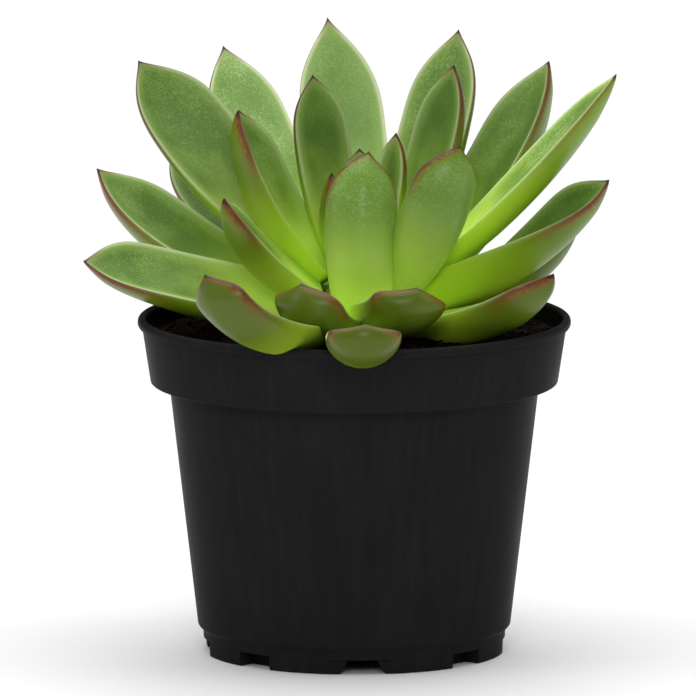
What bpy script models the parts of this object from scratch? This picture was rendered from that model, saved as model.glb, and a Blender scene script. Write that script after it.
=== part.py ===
"""Potted succulent: a rosette of thick pointed leaves in a black nursery pot.

Metres, +Z up. The origin is on the pot's axis at the plane that the pot stands on.
The plant's front, where its lowest leaves hang over the rim, faces -Y.
"""

from dataclasses import dataclass
from math import cos, pi, radians, sin, sqrt

import bmesh
import bpy
import numpy as np
from mathutils import Matrix, Vector

MM = 0.001

# ---- driving dimensions, metres -------------------------------------------------------
POT_HEIGHT = 0.0936
RIM_RADIUS = 0.0600          # outside of the rolled lip
LIP_HEIGHT = 0.0026
LIP_OVERHANG = 0.0012        # lip beyond the collar
COLLAR_HEIGHT = 0.0182       # rim top down to the collar's lower edge
COLLAR_TAPER = 0.0024        # radius lost from the collar's top to its lower edge
COLLAR_STEP = 0.0051         # collar's lower edge in to the body
BODY_TAPER = 0.0080          # radius lost down the body
BASE_HEIGHT = 0.0076         # where the body meets the foot
FOOT_STEP = 0.0014           # body in to the foot
FOOT_HEIGHT = 0.0062
FOOT_DRAFT = 0.0003
FOOT_WIDTH = 0.0072          # radial width of the standing ring
WALL = 0.0012
FLOOR_CLEAR = 0.0048         # floor's underside above the ground
POT_STEPS = 72

NOTCH_COUNT = 4              # of each of the two kinds of drainage notch
NOTCH_TURN = 3.3             # degrees from the front to the first notch
NOTCH_HEIGHT = 0.0041
WIDE_NOTCH_WIDTH = 0.0187
WIDE_NOTCH_DEPTH = 0.0015
CHANNEL_TOP_WIDTH = 0.0076
CHANNEL_FOOT_WIDTH = 0.0140
NARROW_NOTCH_WIDTH = 0.0108
NARROW_NOTCH_DEPTH = 0.0058
DRAIN_RADIUS = 0.0030
DRAIN_INSET = 0.0040         # drain hole's centre inside the standing ring

GAP = 0.0003                 # between pieces that touch
SOIL_DROP = 0.0051           # soil surface below the rim at the wall
SOIL_CROWN = 0.0012          # how much higher the soil is round the stem
SOIL_STEPS = 48

STEM_X = 0.0015              # the plant grows a little right of the pot's axis
STEM_RADIUS = 0.0120
STEM_HALF = 0.0160           # half the height of the swollen stem
STEM_SINK = 0.0020           # stem's middle below the level that leaf feet are counted from
STEM_STEPS = 32

PLANT_RISE = 0.0039          # from the soil in the middle to the level of the leaf feet
TIP_RIM = 0.0600             # the rim radius that the tips of rim leaves are given for
LEAF_GAP = 0.0010            # leaf's foot to the stem
LEAF_RINGS = 12
LEAF_SIDES = 10
WIDEST = 0.62                # where along a leaf it is widest
THICKEST = 0.40
FOOT_THICKNESS = 0.50

# ---- colours --------------------------------------------------------------------------
POT_BLACK = (0.012, 0.012, 0.013)
SOIL_BROWN = (0.030, 0.016, 0.010)
STEM_GREEN = (0.28, 0.36, 0.07)
OUTER_GREEN = (0.16, 0.30, 0.06)
INNER_GREEN = (0.14, 0.27, 0.05)


@dataclass(frozen=True)
class Leaf:
    """One leaf. Lengths in millimetres, angles in degrees.

    tip is (x, y, height above the rim) from the pot's axis, foot the height on the stem
    above the plant's level. bow pulls the leaf's middle down and out, turn says how far
    along it bends, sway pushes its middle sideways and droop lets it hang before the tip.
    base is the width at the foot as a share of the full width, end how bluntly the tip
    closes. A leaf that lies over the rim moves out with it.
    """

    name: str
    tip: tuple
    width: float
    foot: float
    bow: float = 6.0
    turn: float = 0.5
    sway: float = 0.0
    droop: float = 0.0
    roll: float = 0.0
    thick: float = 5.0
    cup: float = 0.25
    base: float = 0.32
    end: float = 3.2
    over_rim: bool = False


OUTER_LEAVES = (
    Leaf("leaf_left_low", (-74.5, 4, 14.5), 21, 0.2, bow=2, roll=-24, thick=4.5, over_rim=True),
    Leaf("leaf_left_mid", (-71, 8, 40), 23, 5.1, bow=9.5, roll=-23),
    Leaf("leaf_left_high", (-60, 28, 66), 26, 9.3, bow=9, roll=-28),
    Leaf("leaf_left_behind", (-52, 40, 43.5), 18, 2.2, bow=9, roll=-10, thick=4.5),
    Leaf("leaf_back_left", (-36.5, 50, 68), 24, 6.6, bow=12, roll=-8, thick=5.5),
    Leaf("leaf_back_mid", (-8, 72, 73), 23.5, 4.5, bow=13, sway=-4, end=2.8),
    Leaf("leaf_back_right", (29, 48, 72.5), 22, 6.5, bow=10, roll=4, thick=6),
    Leaf("leaf_right_behind", (54, 34, 66), 23, 3.4, bow=11, thick=5.5),
    Leaf("leaf_right_high", (72.5, 0, 68), 22, 8, bow=10, roll=4, thick=6),
    Leaf("leaf_right_mid", (70, -4, 38), 25, 3.5, bow=8, roll=16, cup=0.32, thick=6),
    Leaf("leaf_right_under", (57, 10, 18), 17, -0.4, bow=5, roll=10, over_rim=True),
    Leaf("leaf_right_low", (54.5, -34, 16), 20, -0.4, bow=8, turn=0.6, roll=4, end=4, over_rim=True),
)
FRONT_LEAVES = (
    Leaf("leaf_front_right", (17, -46, 15.5), 21, 4.6, bow=6, turn=0.7, thick=4.5, end=4),
    Leaf("leaf_front_low", (3, -86, 11.5), 20, -0.6, 4, 0.9, droop=7, thick=4, cup=0.3, end=8, over_rim=True),
    Leaf("leaf_front_left", (-14.5, -45, 16.5), 23, 5.2, bow=8, turn=0.7, end=4),
    Leaf("leaf_left_front", (-41, -76, 24), 22, -0.6, 18, 0.9, sway=12, droop=2, thick=4.5, end=6, over_rim=True),
)
INNER_LEAVES = (
    Leaf("inner_leaf_left_low", (-36, -18, 36), 16, 7, bow=5, roll=-20, thick=6),
    Leaf("inner_leaf_left", (-32, 6, 57), 18, 11, bow=9, roll=-25, thick=4.5),
    Leaf("inner_leaf_back_left", (-11.5, 18, 65), 18, 12.2, bow=5, thick=4.5),
    Leaf("inner_leaf_back_right", (27.5, 20, 67.5), 19, 9.5, bow=6, thick=6),
    Leaf("inner_leaf_front", (4, -14, 48.5), 20, 7.2, bow=6, sway=-5, thick=6, base=0.38),
    Leaf("inner_leaf_right", (29, -18, 51), 20, 6.5, bow=6, sway=-4, roll=-32, thick=6),
    Leaf("bud_leaf_right", (11.5, 10, 50), 10, 12.5, bow=2, thick=4),
    Leaf("bud_leaf_left", (-6, 2, 40), 8, 13, bow=2, thick=3),
    Leaf("bud_leaf_mid", (1.5, 1, 47), 11, 13.3, bow=1.5, thick=4),
)
REAR_LEAVES = (
    Leaf("low_leaf_1", (-54, 32, 12), 15, -0.6, bow=3, over_rim=True),
    Leaf("low_leaf_2", (-40, 58, 12), 16, -0.6, bow=4, over_rim=True),
    Leaf("low_leaf_3", (-2, 85, 13), 16, -0.6, bow=5, over_rim=True),
    Leaf("low_leaf_4", (31, 76, 12), 15, -0.6, bow=4, over_rim=True),
    Leaf("low_leaf_5", (54, 38, 11), 15, -0.6, bow=3, over_rim=True),
    Leaf("rear_leaf_1", (-22, 74, 34), 15, 1.6, bow=7, thick=4),
    Leaf("rear_leaf_2", (15, 78, 36), 15, 1.8, bow=7, thick=4),
    Leaf("rear_leaf_3", (43, 59, 33), 14, 1.7, bow=6, thick=3.8),
)
LEAVES = OUTER_LEAVES + FRONT_LEAVES + INNER_LEAVES + REAR_LEAVES


# ---- leaves ---------------------------------------------------------------------------
def unit(rows):
    return rows / np.linalg.norm(rows, axis=-1, keepdims=True)


def width_share(t, base, end):
    """Half width along the leaf: a narrow foot, widest past the middle, a cusp at the tip."""
    grow = base + (1 - base) * np.sin(pi / 2 * np.clip(t / WIDEST, 0, 1))
    u = np.clip((t - WIDEST) / (1 - WIDEST), 0, 1)
    return np.where(t < WIDEST, grow, (1 - u**end) ** 1.45)


def thick_share(t):
    rise = np.sin(pi / 2 * np.clip(t / THICKEST, 0, 1))
    u = np.clip((t - THICKEST) / (1 - THICKEST), 0, 1)
    return np.where(t < THICKEST, FOOT_THICKNESS + (1 - FOOT_THICKNESS) * rise, (1 - u**2.2) ** 0.75)


PLANT_LEVEL = POT_HEIGHT - SOIL_DROP + SOIL_CROWN + PLANT_RISE


def stem_radius(height):
    """The swollen stem's radius at a height above the plant's level."""
    share = (height + STEM_SINK) / STEM_HALF
    return STEM_RADIUS * sqrt(max(0.0, 1 - share * share))


def leaf_line(leaf, t):
    """The leaf's centre line at shares t of its length: points and the sideways direction."""
    axis = np.array([STEM_X, 0.0, PLANT_LEVEL])
    tip = np.array([leaf.tip[0] * MM, leaf.tip[1] * MM, POT_HEIGHT + leaf.tip[2] * MM])
    out = unit((tip - axis) * [1, 1, 0])
    if leaf.over_rim:
        tip += out * (RIM_RADIUS - TIP_RIM)
    height = leaf.foot * MM
    foot = axis + out * (stem_radius(height) + LEAF_GAP) + np.array([0, 0, height])
    chord = tip - foot
    side = unit(np.cross([0, 0, 1.0], out))
    down = unit(np.cross(side, chord))
    if down[2] > 0:
        down = -down
    bend = foot + leaf.turn * chord + leaf.bow * MM * down + leaf.sway * MM * side
    t = np.asarray(t, float)[:, None]
    line = (1 - t) ** 2 * foot + 2 * t * (1 - t) * bend + t**2 * tip
    hang = leaf.droop * MM * (t / 0.857) ** 6 * (1 - t) / 0.143
    return line - np.array([0, 0, 1.0]) * hang, side


def leaf_rings(leaf, rings, sides):
    """Cross-sections along the leaf, and its two end points."""
    t = 1 - (1 - np.linspace(0, 1, rings + 1)[:-1]) ** 1.5
    line, side = leaf_line(leaf, t)
    step = 1e-4
    tangent = unit(leaf_line(leaf, t + step)[0] - leaf_line(leaf, t - step)[0])
    across = unit(side - (tangent @ side)[:, None] * tangent)
    normal = np.cross(tangent, across)
    turn = radians(leaf.roll)
    across, normal = cos(turn) * across + sin(turn) * normal, cos(turn) * normal - sin(turn) * across
    half = leaf.width * MM / 2 * width_share(t, leaf.base, leaf.end)
    thick = np.minimum(leaf.thick * MM * thick_share(t), 2 * half)
    keel = (np.clip((t - 0.35) / 0.65, 0, 1) * 0.45)[:, None]
    angle = np.linspace(0, 2 * pi, sides, endpoint=False)
    wide, high = np.cos(angle), np.sin(angle)
    dish = leaf.cup * half[:, None] * wide**2
    belly = (1 - keel) * np.clip(-high, 0, 1) ** 0.85 + keel * np.where(high < 0, 1 - abs(wide), 0)
    rise = dish + thick[:, None] * (0.10 * np.clip(high, 0, 1) - belly)
    ring = (
        line[:, None]
        + across[:, None] * (half[:, None] * wide)[..., None]
        + normal[:, None] * rise[..., None]
    )
    return ring, line[0], leaf_line(leaf, [1.0])[0][0]


def loft(name, rings, start, finish):
    """A closed solid through a row of unlike rings, ending in a point at each end."""
    bm = bmesh.new()
    loops = [[bm.verts.new(point) for point in ring] for ring in rings]
    first, last = bm.verts.new(start), bm.verts.new(finish)
    sides = len(loops[0])
    for i in range(sides):
        j = (i + 1) % sides
        bm.faces.new((first, loops[0][j], loops[0][i]))
        bm.faces.new((last, loops[-1][i], loops[-1][j]))
        for low, high in zip(loops, loops[1:]):
            bm.faces.new((low[i], low[j], high[j], high[i]))
    mesh = bpy.data.meshes.new(name)
    bm.to_mesh(mesh)
    bm.free()
    mesh.shade_smooth()
    mesh.set_sharp_from_angle(angle=radians(70))
    return bpy.data.objects.new(name, mesh)


# ---- turned pieces --------------------------------------------------------------------
def turned(name, profile, steps, collection):
    """A profile in the XZ plane, turned about Z. It runs top to bottom on its outer side."""
    mesh = bpy.data.meshes.new(name)
    bm = bmesh.new()
    points = [bm.verts.new((radius, 0, height)) for radius, height in profile]
    for a, b in zip(points, points[1:]):
        bm.edges.new((a, b))
    bm.to_mesh(mesh)
    bm.free()
    obj = bpy.data.objects.new(name, mesh)
    collection.objects.link(obj)
    screw = obj.modifiers.new("turn", "SCREW")
    screw.steps = screw.render_steps = steps
    screw.use_merge_vertices = True
    screw.merge_threshold = 1e-6
    return obj


def settle(obj, angle):
    """Applies the modifiers and shades the result smooth, with sharp corners."""
    graph = bpy.context.evaluated_depsgraph_get()
    mesh = bpy.data.meshes.new_from_object(obj.evaluated_get(graph))
    obj.modifiers.clear()
    obj.data = mesh
    mesh.shade_smooth()
    mesh.set_sharp_from_angle(angle=radians(angle))


COLLAR_FOOT = POT_HEIGHT - COLLAR_HEIGHT
FLOOR_TOP = FLOOR_CLEAR + WALL


def collar_radius(height):
    """Outside of the collar, which narrows from the lip to its lower edge."""
    share = (POT_HEIGHT - LIP_HEIGHT - height) / (COLLAR_HEIGHT - LIP_HEIGHT)
    return RIM_RADIUS - LIP_OVERHANG - COLLAR_TAPER * share


def body_radius(height):
    """Outside of the body, which narrows from the collar to the foot."""
    share = (COLLAR_FOOT - height) / (COLLAR_FOOT - BASE_HEIGHT)
    return collar_radius(COLLAR_FOOT) - COLLAR_STEP - BODY_TAPER * share


def inner_profile():
    """The pot's inner wall from the floor up to the lip: (radius, height) pairs."""
    ledge = COLLAR_FOOT + WALL
    return [
        (body_radius(FLOOR_TOP) - WALL, FLOOR_TOP),
        (body_radius(COLLAR_FOOT) - WALL, ledge),
        (collar_radius(ledge) - WALL, ledge),
        (collar_radius(POT_HEIGHT - LIP_HEIGHT) - WALL, POT_HEIGHT - LIP_HEIGHT),
    ]


def lip_profile():
    """The rolled lip, over from the inside to the outside."""
    inside = RIM_RADIUS - LIP_OVERHANG - WALL
    radius = (RIM_RADIUS - inside) / 2
    middle = RIM_RADIUS - radius
    rise = LIP_HEIGHT / 2
    turns = [pi - pi * step / 6 for step in range(7)]
    arc = [(middle + radius * cos(a), POT_HEIGHT - rise + rise * sin(a)) for a in turns]
    edge = (RIM_RADIUS, POT_HEIGHT - LIP_HEIGHT * 0.8)
    return [*arc, edge, (RIM_RADIUS - LIP_OVERHANG, POT_HEIGHT - LIP_HEIGHT)]


def build_pot(collection, cutters):
    base = body_radius(BASE_HEIGHT)
    foot = base - FOOT_STEP
    profile = (
        [(0.0, FLOOR_TOP)]
        + inner_profile()
        + lip_profile()
        + [
            (collar_radius(COLLAR_FOOT), COLLAR_FOOT),
            (body_radius(COLLAR_FOOT), COLLAR_FOOT),
            (base, BASE_HEIGHT),
            (foot, FOOT_HEIGHT),
            (foot - FOOT_DRAFT, 0.0),
            (foot - FOOT_WIDTH, 0.0),
            (foot - FOOT_WIDTH, FLOOR_CLEAR),
            (0.0, FLOOR_CLEAR),
        ]
    )
    pot = turned("pot", profile, POT_STEPS, collection)
    for cutter in notch_cutters(foot, cutters) + drain_cutters(foot, cutters):
        cut = pot.modifiers.new(cutter.name, "BOOLEAN")
        cut.operation = "DIFFERENCE"
        cut.object = cutter
    return pot


def wedge(name, reach, low_width, high_width, height, turn, collection):
    """A cutter that lies along a radius: (inner, outer) reach, wider at its foot."""
    inner, outer = reach
    bm = bmesh.new()
    bmesh.ops.create_cube(bm, size=1.0)
    for vert in bm.verts:
        width = low_width if vert.co.z < 0 else high_width
        top = height if vert.co.z > 0 else -MM
        radius = outer if vert.co.x > 0 else inner
        vert.co = Vector((radius, width * vert.co.y, top))
    bmesh.ops.rotate(bm, verts=bm.verts, matrix=Matrix.Rotation(radians(turn), 3, "Z"))
    mesh = bpy.data.meshes.new(name)
    bm.to_mesh(mesh)
    bm.free()
    return cutter_object(name, mesh, collection)


def cutter_object(name, mesh, collection):
    cutter = bpy.data.objects.new(name, mesh)
    collection.objects.link(cutter)
    cutter.hide_render = True
    cutter.display_type = "WIRE"
    return cutter


def notch_cutters(foot, cutters):
    """Four wide shallow notches, each with a flared channel, and four narrow deep ones."""
    made = []
    spacing = 360 / NOTCH_COUNT
    past = foot + 5 * MM
    ring_inside = foot - FOOT_WIDTH
    for i in range(NOTCH_COUNT):
        wide_turn = NOTCH_TURN - 90 + spacing * i
        narrow_turn = wide_turn + spacing / 2
        made += [
            wedge(f"wide_notch_{i}", (foot - WIDE_NOTCH_DEPTH, past), WIDE_NOTCH_WIDTH,
                  WIDE_NOTCH_WIDTH, NOTCH_HEIGHT, wide_turn, cutters),
            wedge(f"channel_{i}", (ring_inside - MM, past), CHANNEL_FOOT_WIDTH,
                  CHANNEL_TOP_WIDTH, NOTCH_HEIGHT, wide_turn, cutters),
            wedge(f"narrow_notch_{i}", (foot - NARROW_NOTCH_DEPTH, past), NARROW_NOTCH_WIDTH,
                  NARROW_NOTCH_WIDTH, NOTCH_HEIGHT, narrow_turn, cutters),
        ]
    return made


def drain_cutters(foot, cutters):
    """A round drain hole through the floor at the inner end of each channel."""
    made = []
    radius = foot - FOOT_WIDTH - DRAIN_INSET
    for i in range(NOTCH_COUNT):
        turn = radians(NOTCH_TURN - 90 + 360 / NOTCH_COUNT * i)
        bm = bmesh.new()
        place = Matrix.Translation((radius * cos(turn), radius * sin(turn), FLOOR_CLEAR + WALL / 2))
        bmesh.ops.create_cone(bm, cap_ends=True, segments=16, radius1=DRAIN_RADIUS,
                              radius2=DRAIN_RADIUS, depth=4 * WALL, matrix=place)
        mesh = bpy.data.meshes.new(f"drain_{i}")
        bm.to_mesh(mesh)
        bm.free()
        made.append(cutter_object(f"drain_{i}", mesh, cutters))
    return made


def oval_arc(gap, top, bottom, steps):
    """The stem's side as an arc from angle top to angle bottom, degrees, grown by a gap."""
    middle = PLANT_LEVEL - STEM_SINK
    angles = [radians(top + (bottom - top) * i / steps) for i in range(steps + 1)]
    return [((STEM_RADIUS + gap) * cos(a), middle + (STEM_HALF + gap) * sin(a)) for a in angles]


def build_stem(collection):
    profile = oval_arc(0.0, 90, -90, 14)
    profile[0] = (0.0, profile[0][1])
    profile[-1] = (0.0, profile[-1][1])
    stem = turned("stem", profile, STEM_STEPS, collection)
    stem.location.x = STEM_X
    return stem


def soil_level(radius, wall):
    """Soil height at a radius: a little higher round the stem than at the wall."""
    return POT_HEIGHT - SOIL_DROP + SOIL_CROWN * (1 - (radius / wall) ** 2)


def build_soil(collection, cutters):
    """The peat that fills the pot, with a hollow that the stem sits in."""
    wall = collar_radius(POT_HEIGHT - SOIL_DROP) - WALL - GAP
    inner = inner_profile()
    radii = [wall * share for share in (0.4, 0.6, 0.8, 1.0)]
    profile = [(0.0, soil_level(0.0, wall))] + [(r, soil_level(r, wall)) for r in radii]
    profile += [
        (inner[2][0] - GAP, inner[2][1] + GAP),
        (inner[1][0] - GAP, inner[1][1] + GAP),
        (inner[0][0] - GAP, inner[0][1] + GAP),
        (0.0, inner[0][1] + GAP),
    ]
    soil = turned("soil", profile, SOIL_STEPS, collection)
    hollow = turned("stem_hollow", closed_oval(GAP), STEM_STEPS, cutters)
    hollow.location.x = STEM_X
    hollow.hide_render = True
    hollow.display_type = "WIRE"
    cut = soil.modifiers.new("stem_hollow", "BOOLEAN")
    cut.operation = "DIFFERENCE"
    cut.object = hollow
    return soil


def closed_oval(gap):
    profile = oval_arc(gap, 90, -90, 14)
    profile[0] = (0.0, profile[0][1])
    profile[-1] = (0.0, profile[-1][1])
    return profile


# ---- materials and assembly -----------------------------------------------------------
def dress(obj, colour, roughness):
    material = bpy.data.materials.new(obj.name)
    material.use_nodes = True
    shader = material.node_tree.nodes["Principled BSDF"]
    shader.inputs["Base Color"].default_value = (*colour, 1.0)
    shader.inputs["Roughness"].default_value = roughness
    shader.inputs["Metallic"].default_value = 0.0
    obj.data.materials.clear()
    obj.data.materials.append(material)


def new_collection(name):
    collection = bpy.data.collections.new(name)
    bpy.context.scene.collection.children.link(collection)
    return collection


def main():
    for obj in list(bpy.data.objects):
        bpy.data.objects.remove(obj, do_unlink=True)
    parts = new_collection("potted_succulent")
    cutters = new_collection("cutters")
    frame = bpy.data.objects.new("plant_and_pot", None)
    parts.objects.link(frame)

    pot = build_pot(parts, cutters)
    soil = build_soil(parts, cutters)
    stem = build_stem(parts)
    bpy.context.view_layer.update()
    dressed = ((pot, POT_BLACK, 0.45), (soil, SOIL_BROWN, 0.95), (stem, STEM_GREEN, 0.5))
    for obj, colour, roughness in dressed:
        settle(obj, 30)
        dress(obj, colour, roughness)
        obj.parent = frame
    for leaf in LEAVES:
        obj = loft(leaf.name, *leaf_rings(leaf, LEAF_RINGS, LEAF_SIDES))
        parts.objects.link(obj)
        dress(obj, INNER_GREEN if leaf in INNER_LEAVES else OUTER_GREEN, 0.45)
        obj.parent = frame
    cutters.hide_render = True


if __name__ == "__main__":
    main()
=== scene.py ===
"""Potted succulent: a pointed rosette in a black nursery pot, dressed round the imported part.

Metres, +Z up. The pot's axis is the Z axis, and the plant's front faces -Y.
"""

import logging
from collections.abc import Callable
from dataclasses import dataclass
from enum import Enum
from math import cos, pi, radians, sin

import bmesh
import bpy
import numpy as np
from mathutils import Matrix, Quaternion, Vector


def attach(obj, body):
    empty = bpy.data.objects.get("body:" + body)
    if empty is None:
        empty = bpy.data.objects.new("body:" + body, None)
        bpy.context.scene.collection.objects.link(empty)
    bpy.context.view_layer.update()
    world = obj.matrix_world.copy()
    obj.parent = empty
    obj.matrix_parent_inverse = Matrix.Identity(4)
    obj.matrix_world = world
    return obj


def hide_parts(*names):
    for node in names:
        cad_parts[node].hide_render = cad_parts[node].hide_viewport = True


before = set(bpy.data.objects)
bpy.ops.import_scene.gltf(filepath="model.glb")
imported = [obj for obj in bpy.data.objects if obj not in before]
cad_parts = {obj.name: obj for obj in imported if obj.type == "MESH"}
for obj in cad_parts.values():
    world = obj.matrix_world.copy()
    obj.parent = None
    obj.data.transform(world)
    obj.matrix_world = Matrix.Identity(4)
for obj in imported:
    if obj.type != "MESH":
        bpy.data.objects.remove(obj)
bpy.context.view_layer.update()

MM = 0.001
LOG = logging.getLogger("succulent")
Signal = bpy.types.NodeSocket | float | tuple


# ---- bench: small helpers for modelling by operator ------------------------------------
def clear_selection() -> None:
    """Leaves every object deselected, in object mode."""
    if bpy.context.object is not None and bpy.context.object.mode != "OBJECT":
        bpy.ops.object.mode_set(mode="OBJECT")
    bpy.ops.object.select_all(action="DESELECT")


def add(operator: Callable, **settings: object) -> bpy.types.Object:
    """Adds an object and leaves only it selected.

    Args:
        operator: the operator that adds it.
        settings: what the operator is given.

    Returns:
        The object.
    """
    clear_selection()
    operator(**settings)
    return bpy.context.object


def take_up(obj: bpy.types.Object) -> None:
    """Makes one object the only selected and active one.

    Args:
        obj: the object to work on.
    """
    clear_selection()
    obj.select_set(True)
    bpy.context.view_layer.objects.active = obj


def pick(obj: bpy.types.Object, test: Callable[[Vector], bool]) -> None:
    """Selects, in edit mode, the points that pass a test, and their edges and faces.

    Args:
        obj: the object being edited.
        test: takes a point's place and says whether it is picked.
    """
    bpy.ops.mesh.select_mode(type="VERT")
    bpy.ops.mesh.select_all(action="DESELECT")
    edit = bmesh.from_edit_mesh(obj.data)
    for vert in edit.verts:
        vert.select = bool(test(vert.co))
    edit.select_flush_mode()
    bmesh.update_edit_mesh(obj.data)


def settle(obj: bpy.types.Object, name: str, smooth: float = 40.0) -> bpy.types.Object:
    """Names a piece, applies its place, turns its faces out and shades it.

    Args:
        obj: the piece, in object mode.
        name: its name.
        smooth: the angle in degrees above which an edge stays sharp.

    Returns:
        The same piece.
    """
    take_up(obj)
    bpy.ops.object.transform_apply(location=True, rotation=True, scale=True)
    bpy.ops.object.mode_set(mode="EDIT")
    bpy.ops.mesh.select_all(action="SELECT")
    bpy.ops.mesh.normals_make_consistent(inside=False)
    bpy.ops.object.mode_set(mode="OBJECT")
    bpy.ops.object.shade_smooth_by_angle(angle=radians(smooth))
    obj.name = obj.data.name = name
    return obj


def apply_modifiers(obj: bpy.types.Object) -> None:
    """Applies all the modifiers of a piece, in order.

    Args:
        obj: the piece.
    """
    take_up(obj)
    for modifier in list(obj.modifiers):
        bpy.ops.object.modifier_apply(modifier=modifier.name)


def mount(obj: bpy.types.Object, slot: str, *nodes: str) -> None:
    """Fixes a piece to the part: it rides on the body and stands for its nodes.

    Args:
        obj: the finished piece.
        slot: the record's material slot.
        nodes: the nodes that the piece stands for.
    """
    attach(obj, "root")
    if nodes:
        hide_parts(*nodes)
    LOG.info("%s: %d faces, slot %s", obj.name, len(obj.data.polygons), slot)


def eased(corners: list, radius: float, steps: int = 3) -> list:
    """Rounds the corners of a profile.

    Args:
        corners: (radius, height) pairs.
        radius: how far from each corner the curve starts.
        steps: points in each curve, less one.

    Returns:
        The (radius, height) pairs of the rounded profile.
    """
    points = [np.array(corner, float) for corner in corners]
    made = [points[0]]
    for before, corner, after in zip(points, points[1:], points[2:]):
        back, on = before - corner, after - corner
        reach = min(radius, 0.45 * np.linalg.norm(back), 0.45 * np.linalg.norm(on))
        start = corner + back / np.linalg.norm(back) * reach
        end = corner + on / np.linalg.norm(on) * reach
        for share in np.linspace(0, 1, steps + 1):
            rest = 1 - share
            made.append(rest**2 * start + 2 * share * rest * corner + share**2 * end)
    made.append(points[-1])
    return [tuple(point) for point in made]


def throw_ring(profile: list, steps: int) -> bpy.types.Object:
    """Raises a turned shape from a disc, ring by ring, and closes it on the axis.

    Args:
        profile: (radius, height) pairs from the disc's edge to the last ring.
        steps: points round each ring.

    Returns:
        The closed shape, in object mode.
    """
    radius, height = profile[0]
    disc = {"vertices": steps, "radius": radius, "fill_type": "TRIFAN"}
    obj = add(bpy.ops.mesh.primitive_circle_add, location=(0, 0, height), **disc)
    bpy.ops.object.mode_set(mode="EDIT")
    pick(obj, lambda place: place.xy.length > profile[0][0] * 0.5)
    for next_radius, next_height in profile[1:]:
        rise = {"value": (0, 0, next_height - height)}
        bpy.ops.mesh.extrude_region_move(TRANSFORM_OT_translate=rise)
        share = next_radius / radius
        bpy.ops.transform.resize(value=(share, share, 1))
        radius, height = next_radius, next_height
    bpy.ops.mesh.extrude_region_move(TRANSFORM_OT_translate={"value": (0, 0, 0)})
    bpy.ops.mesh.merge(type="CENTER")
    bpy.ops.object.mode_set(mode="OBJECT")
    return obj


# ---- bench: small helpers for material nodes -------------------------------------------
class Wiring:
    """Places and links shader nodes in one tree."""

    def __init__(self, tree: bpy.types.NodeTree) -> None:
        """Keeps the tree that the nodes go into."""
        self.tree = tree

    def put(self, socket: bpy.types.NodeSocket, value: Signal) -> None:
        """Links an input to an output, or sets its value.

        Args:
            socket: the input.
            value: an output socket, a number, or a colour or vector.
        """
        if isinstance(value, bpy.types.NodeSocket):
            self.tree.links.new(value, socket)
        elif isinstance(value, tuple) and len(value) == 3 and socket.type == "RGBA":
            socket.default_value = (*value, 1.0)
        else:
            socket.default_value = value

    def node(self, kind: str, settings: dict | None = None, **inputs: Signal) -> bpy.types.Node:
        """Adds a node.

        Args:
            kind: the node's type name.
            settings: properties of the node itself.
            inputs: values or outputs for its inputs, by name with _ for a space.

        Returns:
            The node.
        """
        made = self.tree.nodes.new(kind)
        for name, value in (settings or {}).items():
            setattr(made, name, value)
        for name, value in inputs.items():
            self.put(made.inputs[name.replace("_", " ")], value)
        return made

    def math(
        self, operation: str, first: Signal, second: Signal = 0.0, third: Signal = 0.0
    ) -> bpy.types.NodeSocket:
        """Adds a Math node.

        Args:
            operation: what it does.
            first: its first value.
            second: its second value.
            third: its third value, where the operation has one.

        Returns:
            Its output.
        """
        made = self.node("ShaderNodeMath", {"operation": operation})
        for socket, value in zip(made.inputs, (first, second, third)):
            self.put(socket, value)
        return made.outputs[0]

    def product(self, first: Signal, *others: Signal) -> Signal:
        """Multiplies values.

        Args:
            first: the first value.
            others: the values that multiply it.

        Returns:
            The product.
        """
        for other in others:
            first = self.math("MULTIPLY", first, other)
        return first

    def blend(
        self, share: Signal, low: Signal, high: Signal, mode: str = "MIX"
    ) -> bpy.types.NodeSocket:
        """Mixes two colours.

        Args:
            share: how much of the second colour.
            low: the first colour.
            high: the second colour.
            mode: the blend type.

        Returns:
            The mixed colour.
        """
        made = self.node("ShaderNodeMix", {"data_type": "RGBA", "blend_type": mode})
        made.clamp_factor = True
        for index, value in ((0, share), (6, low), (7, high)):
            self.put(made.inputs[index], value)
        return made.outputs[2]

    def step(
        self, value: Signal, start: float, end: float, low: float = 0.0, high: float = 1.0
    ) -> bpy.types.NodeSocket:
        """Eases a value from low at start to high at end.

        Args:
            value: the value that is mapped.
            start: where the change begins.
            end: where it ends.
            low: what comes out before start.
            high: what comes out after end.

        Returns:
            The eased value.
        """
        made = self.node("ShaderNodeMapRange", {"interpolation_type": "SMOOTHSTEP"})
        for socket, item in zip(made.inputs, (value, start, end, low, high)):
            self.put(socket, item)
        return made.outputs[0]

    def noise(
        self,
        scale: float,
        detail: float = 2.0,
        place: bpy.types.NodeSocket | None = None,
        rough: float = 0.5,
    ) -> bpy.types.NodeSocket:
        """Adds a noise texture on the object's own coordinates.

        Args:
            scale: waves per metre.
            detail: how many finer layers it has.
            place: another vector to read, or None for the object's.
            rough: how strong the finer layers are.

        Returns:
            The noise, from 0 to 1.
        """
        if place is None:
            place = self.node("ShaderNodeTexCoord").outputs["Object"]
        made = self.node("ShaderNodeTexNoise", Vector=place, Scale=scale, Detail=detail)
        made.inputs["Roughness"].default_value = rough
        return made.outputs["Fac"]

    def mark(self, name: str) -> bpy.types.NodeSocket:
        """Returns a number that the piece's mesh carries at each point."""
        made = self.node("ShaderNodeAttribute", {"attribute_name": name})
        return made.outputs["Fac"]

    def bump(self, height: Signal, strength: float, distance: float) -> bpy.types.NodeSocket:
        """Adds a Bump node.

        Args:
            height: the height it reads.
            strength: how strong it is.
            distance: how high a height of one stands, in metres.

        Returns:
            The bumped normal.
        """
        made = self.node("ShaderNodeBump", Height=height, Strength=strength, Distance=distance)
        return made.outputs["Normal"]


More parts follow.
